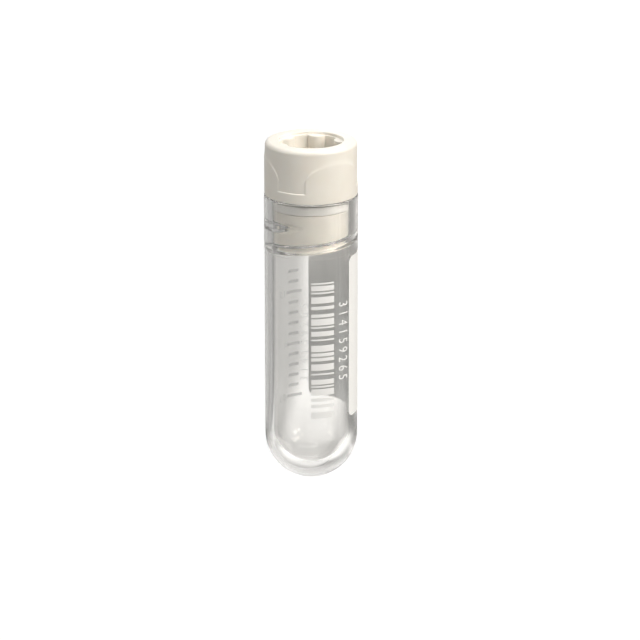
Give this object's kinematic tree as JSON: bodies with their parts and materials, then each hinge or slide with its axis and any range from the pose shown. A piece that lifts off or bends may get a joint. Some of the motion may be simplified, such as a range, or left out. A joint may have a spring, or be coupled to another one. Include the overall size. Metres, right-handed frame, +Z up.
{
  "type": "cryovial",
  "caption": "Clear round-bottomed cryogenic tube with an internally threaded screw cap and a seal ring.",
  "frame": {"origin": "on the surface the vial lies on, under the middle of its length and width", "axes": "+Y along the vial's axis, towards its cap; +Z up; the printed front faces up, turned 17 degrees about the axis towards +X, which is the side on the right of the front with the cap upwards"},
  "size_m": [0.0124, 0.047, 0.0125],
  "materials": {
    "clear_tube": "glass-clear moulded polypropylene, smooth",
    "cap_plastic": "opaque cream-white moulded plastic with a satin sheen",
    "seal_rubber": "translucent white silicone, matt"
  },
  "bodies": {
    "tube": {"tube": "clear_tube"},
    "seal": {"seal_ring": "seal_rubber"},
    "cap": {"screw_cap": "cap_plastic"}
  },
  "joints": [
    {"name": "cap_lift", "type": "slide", "parent": "tube", "child": "seal", "axis": [0, 1, 0], "range_m": [0, 0.0045]},
    {"name": "cap_turn", "type": "hinge", "parent": "seal", "child": "cap", "pos_m": [0, 0, 0.00625], "axis": [0, 1, 0], "range_deg": [0, 540]}
  ],
  "couplings": [
    {"joint": "cap_turn", "follows": "cap_lift", "rad_per_m": 2094.4}
  ]
}
